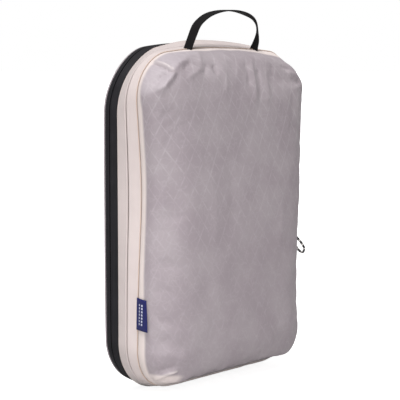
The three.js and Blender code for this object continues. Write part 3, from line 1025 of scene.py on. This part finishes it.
def turns(name, zip_y, direction, half_gap):
    """The coil's turns on one side of a zipper: short bent bars in a row, as one piece."""
    row, run = edge_loop(TURN_INSET, zip_y, 4000, half_gap)
    at = (np.arange(int(run[-1] / TURN_PITCH)) + (0.5 if direction > 0 else 0.0)) * TURN_PITCH
    centre = places(row, run, at)
    tangent = unit(places(row, run, at + 0.0005) - centre)
    inwards = np.cross(tangent, (0, -1, 0))
    depth = np.array([0, direction, 0], float)
    points, faces = [], []
    for c, t, n in zip(centre, tangent, inwards):
        faces += closed_run(len(points), len(TURN_SHAPE), 1)
        for end in (-TURN_LENGTH, TURN_LENGTH):
            for y_share, n_share, half in TURN_SHAPE:
                middle = c + depth * y_share * TURN_WIDTH + n * n_share * TURN_THICK
                points.append(middle + t * half * TURN_PITCH * end)
    return outward(make_mesh(name, points, faces))


STITCH_PITCH = 0.0027
# A stitch's rings: share of its length, size and lift.
STITCH_SHAPE = ((0, 0.35, -0.6), (0.2, 1, 0.35), (0.8, 1, 0.35), (1, 0.35, -0.6))
STITCH_SIDES = 5


def stitches(name, inset, y, half_gap, body, material, length=0.0019, radius=0.00022):
    """A row of sewn stitches round the edge, lying on the fabric."""
    row, run = edge_loop(inset * MM, y * MM, 4000, half_gap)
    at = np.arange(int(run[-1] / STITCH_PITCH)) * STITCH_PITCH
    start, end = places(row, run, at), places(row, run, at + length)
    out = np.cross(unit(end - start), (0, 1, 0))
    side = np.array([0, 1, 0], float)
    points, faces = [], []
    for a, b, n in zip(start, end, out):
        faces += closed_run(len(points), STITCH_SIDES, len(STITCH_SHAPE) - 1)
        for share, size, lift in STITCH_SHAPE:
            c = a + (b - a) * share + n * radius * lift
            for k in range(STITCH_SIDES):
                angle = 2 * math.pi * k / STITCH_SIDES
                points.append(c + (n * math.sin(angle) + side * math.cos(angle)) * radius * size)
    finish_piece(make_mesh(name, points, faces), body, material)


COIL_GAP = 0.42


def make_zippers():
    main, pressed = MAIN_Y / MM, COMPRESSION_Y / MM
    middle, front, back = MIDDLE_SEAM / MM, FRONT_SEAM / MM, BACK_SEAM / MM
    # Zipper, side, colour, body, the zipper's y, direction, the sewn end's y, half gap and step.
    halves = (
        ("main", "back", "black", "lid", main, 1, back + 0.6, HINGE_HALF, 0.0),
        ("main", "front", "black", "gusset", main, -1, middle, HINGE_HALF, 0.5),
        ("compression", "back", "cream", "gusset", pressed, 1, middle, 0.0, -0.35),
        ("compression", "front", "cream", "front", pressed, -1, front + 0.25, 0.0, 0.1),
    )
    tapes = {"black": black_tape, "cream": cream_tape}
    for zipper, side, colour, body, y, direction, end, half_gap, step in halves:
        node = f"{zipper}_tape_{side}"
        weave = band(node + "_weave", tape_section(y + direction * COIL_GAP, end, step), half_gap)
        finish_piece(weave, body, tapes[colour], node)
    coils = {"black": black_coil, "cream": cream_coil}
    for zipper, side, colour, body, y, direction, _, half_gap, _ in halves:
        node = f"{zipper}_coil_{side}"
        piece = turns(node + "_turns", y * MM, direction, half_gap)
        finish_piece(piece, body, coils[colour], node)
    stitches(
        "middle_seam_stitches", -0.45, middle - 0.7, 0.0, "gusset", cream_thread
    )
    stitches(
        "front_seam_stitches", -0.1, front + 0.3, 0.0, "front", tan_thread,
        length=0.0025, radius=0.0004,
    )
    stitches(
        "back_seam_stitches", -0.05, back - 1.0, HINGE_HALF, "lid", black_thread
    )


make_zippers()

# ---- back lid, bindings, gusset and hinge


def make_back_panel():
    """The lid: a shallow panel that bellies out a little behind its seam."""
    points, _ = panel_grid([
        (0.0, BACK_SEAM / MM + 0.4), (0.05, 20.9), (0.5, 21.7), (2.4, 22.1), (12, 22.2),
        (50, 22.25), (128, 22.3),
    ])
    faces = grid_faces(PANEL_SHORT, PANEL_LONG)
    flat = points.reshape(-1, 3)
    panel = outward(make_mesh("back_panel_fabric", flat, faces, unrolled(points)))
    thicken(panel, 0.0005)
    finish_piece(panel, "lid", ripstop, "back_panel")


make_back_panel()


def make_bindings():
    """The tapes that bind the three seams inside."""
    for seam, body in (("front", "front"), ("gusset", "gusset"), ("back", "lid")):
        node = seam + "_seam_binding"
        y0, y1 = (corner.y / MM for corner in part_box(node))
        middle = (y0 + y1) / 2
        section = [(2.2, y1), (2.0, middle), (2.2, y0), (3.3, y0), (3.5, middle), (3.3, y1)]
        finish_piece(band(node + "_tape", section), body, binding, node)


make_bindings()


PLEATS = 4


def make_expansion_gusset():
    """The gusset behind the compression zipper, in pleats."""
    low, high = MIDDLE_SEAM / MM - 0.8, FRONT_SEAM / MM + 0.8
    insets = (3.9, *(11.5, 5.8) * (PLEATS - 1), 11.5, 3.9)
    section = catmull(list(zip(insets, np.linspace(low, high, 2 * PLEATS + 1))), 60)
    back = section[::-1] + (0.5, 0)
    piece = band("expansion_gusset_pleats", [*section, *back])
    blend_piece(
        piece, cream_fabric, "expansion_gusset"
    )


make_expansion_gusset()


def make_hinge_strip():
    """Fabric that joins lid and body along the bottom, where the main zipper stops."""
    x = np.linspace(-HINGE_HALF, HINGE_HALF, 61)
    line = [
        (0.2, MIDDLE_SEAM / MM - 0.2), (-0.1, 8), (-0.3, 12), (-0.1, 16),
        (0.3, BACK_SEAM / MM + 0.5),
    ]
    rows = []
    for inset, y in line + [(inset + 0.9, y) for inset, y in reversed(line)]:
        z = np.full(len(x), (inset + 0.3) * MM)
        rows.append(bowed(x, np.full(len(x), y * MM), z, inset * MM))
    piece = swept("hinge_strip_fabric", rows, False)
    blend_piece(piece, cream_fabric, "hinge_strip")


make_hinge_strip()

# ---- side label


def seam_x(z):
    """The left front seam's place at a height."""
    spot = bowed(np.array([-HALF_WIDTH]), np.array([FRONT_SEAM]), np.array([z]), 0.0)
    return float(spot[0, 0])


def make_label():
    """A folded woven tag in the left front seam. Its lower corner stands out a little."""
    bottom, top = (corner.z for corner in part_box("side_label"))
    columns, rows = 24, 16
    points, uvs = [], []
    for layer in (0, 1):
        for k in range(rows):
            v = k / (rows - 1)
            z = top + (bottom - top) * v
            for i in range(columns):
                u = i / (columns - 1)
                reach = (0.0145 + 0.0045 * v) * u
                lift = 0.0012 + 0.0016 * math.sin(u * 2.4) + 0.0022 * u**2 * v - 0.0004 * layer
                droop = -0.0016 * u * (1 - v) - 0.0006 * u * v
                x = seam_x(z) + 0.0004 - lift
                points.append((x, FRONT_SEAM + 0.0012 - reach, z + droop))
                uvs.append((z - bottom, reach))
    size = columns * rows
    faces = grid_faces(rows, columns)
    faces += [tuple(size + i for i in reversed(face)) for face in faces]
    number = np.arange(size).reshape(rows, columns)
    rim = np.hstack([number[0], number[1:, -1], number[-1, -2::-1], number[-2:0:-1, 0]]).tolist()
    for a, b in zip(rim, rim[1:] + rim[:1]):
        faces.append((a, b, size + b, size + a))
    piece = outward(make_mesh("side_label_weave", points, faces, uvs))
    finish_piece(piece, "front", label_weave, "side_label")


make_label()

# ---- carry handle

HANDLE_ARCH = [
    (-46, 0), (-39.5, 12), (-32, 24), (-21, 32), (-9, 37), (6, 40.2), (21, 41.4),
    (36, 41), (51, 38.3), (63.5, 33.4), (70.5, 26.5), (72, 19), (70, 9), (66, 0),
]
WEBBING_HALF = 0.006
WEBBING_THICK = 0.0015
HANDLE_TURN = math.radians(46)
SMALL_TURN = math.radians(9)


def turned(share, angle, middle, spread):
    """A twist of the webbing about one place along it."""
    return angle * np.exp(-(((share - middle) / spread) ** 2))


def make_handle():
    """One flat length of webbing, arched over the top and twisted a little at each bend."""
    feet = [(-50, -7), *HANDLE_ARCH, (64, -7)]
    path = catmull([(x * MM, 0, HANDLE_FOOT + z * MM) for x, z in feet], 140)
    tangent = unit(np.gradient(path, axis=0))
    share = np.linspace(0, 1, len(path))
    turn = turned(share, HANDLE_TURN, 0.83, 0.085) + turned(share, SMALL_TURN, 0.3, 0.16)
    sideways, upwards = np.array([[0.0, 1.0, 0.0]]), np.cross(tangent, (0, 1, 0))
    wide = sideways * np.cos(turn)[:, None] + upwards * np.sin(turn)[:, None]
    out = np.cross(tangent, wide)
    run = run_along(path)
    rows, uvs = [], []
    for k in range(20):
        across, through = math.cos(2 * math.pi * k / 20), math.sin(2 * math.pi * k / 20)
        a = np.sign(across) * abs(across) ** 0.25 * WEBBING_HALF
        b = np.sign(through) * abs(through) ** 0.55 * WEBBING_THICK / 2
        rows.append(path + np.array([0, FRONT_SEAM, 0]) + wide * a + out * b)
        uvs.append(beside(run, a))
    piece = swept("carry_handle_webbing", rows, False, np.vstack(uvs))
    blend_piece(piece, webbing, "carry_handle")


make_handle()

# ---- sliders, pulls and stops


def dress(name, material, width):
    """Gives a CAD node its material and rounded edges."""
    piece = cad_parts[name]
    piece.data.materials.clear()
    piece.data.materials.append(material)
    bevel = piece.modifiers.new("edges", "BEVEL")
    bevel.width, bevel.segments, bevel.limit_method = width, 3, "ANGLE"
    bevel.harden_normals = True


for slider in ("main_upper", "main_lower", "compression"):
    for part in ("slider_body", "slider_bridge", "pull_ring"):
        dress(f"{slider}_{part}", dark_metal, 0.00035)
for side in ("left", "right"):
    dress(f"main_zip_stop_{side}", dark_metal, 0.0003)
dress("compression_zip_stop", cream_coil, 0.0003)

# ---- floor and light


AMBIENT = 0.39
FLOOR_GLOW = 0.86
FLOOR_HALF = 40
SUN_STRENGTH = 3.4
LAMP_POWER = 5.2
BOUNCE_POWER = 0.9


def add_light(name, kind, place, energy, **values):
    """A light at a place, turned to the bag's middle. The camera doesn't see it."""
    data = bpy.data.lights.new(name, kind)
    data.energy = energy
    for key, value in values.items():
        setattr(data, key, value)
    light = add_object(name, data)
    light.location = place
    light.visible_camera = False
    aim = Vector((0, 0, HEIGHT / 2)) - Vector(place)
    light.rotation_euler = aim.to_track_quat("-Z", "Y").to_euler()


def make_stage():
    """A pale floor and an even white studio, with a high soft sun and a broad lamp at the left."""
    h = FLOOR_HALF
    floor = make_mesh("floor", [(-h, -h, 0), (h, -h, 0), (h, h, 0), (-h, h, 0)], [(0, 1, 2, 3)])
    m = Nodes("floor", roughness=0.9, specular=0.1)
    seen = m.node("ShaderNodeLightPath").outputs["Is Camera Ray"]
    m.color(m.mix(m.noise(1.5, 1), (0.54, 0.54, 0.54), (0.56, 0.56, 0.56)))
    m.set("Emission Color", (1, 1, 1, 1))
    m.put(m.shader.inputs["Emission Strength"], m.times(seen, FLOOR_GLOW))
    floor.data.materials.append(m.material)
    world = bpy.data.worlds.new("studio")
    bpy.context.scene.world = world
    world.use_nodes = True
    tree = world.node_tree
    background = tree.nodes["Background"]
    path = tree.nodes.new("ShaderNodeLightPath")
    strength = tree.nodes.new("ShaderNodeMapRange")
    strength.inputs["To Min"].default_value = AMBIENT
    strength.inputs["To Max"].default_value = 1.0
    tree.links.new(path.outputs["Is Camera Ray"], strength.inputs["Value"])
    tree.links.new(strength.outputs[0], background.inputs["Strength"])
    background.inputs["Color"].default_value = (1, 1, 1, 1)
    add_light("high_sun", "SUN", (-0.30, -0.15, 1.3), SUN_STRENGTH, angle=math.radians(30))
    add_light("left_lamp", "AREA", (-0.9, -0.8, 0.12), LAMP_POWER, size=0.6)
    add_light("floor_bounce", "AREA", (-0.36, -0.36, 0.015), BOUNCE_POWER, size=0.25)
    bpy.context.scene.view_settings.view_transform = "Standard"


make_stage()
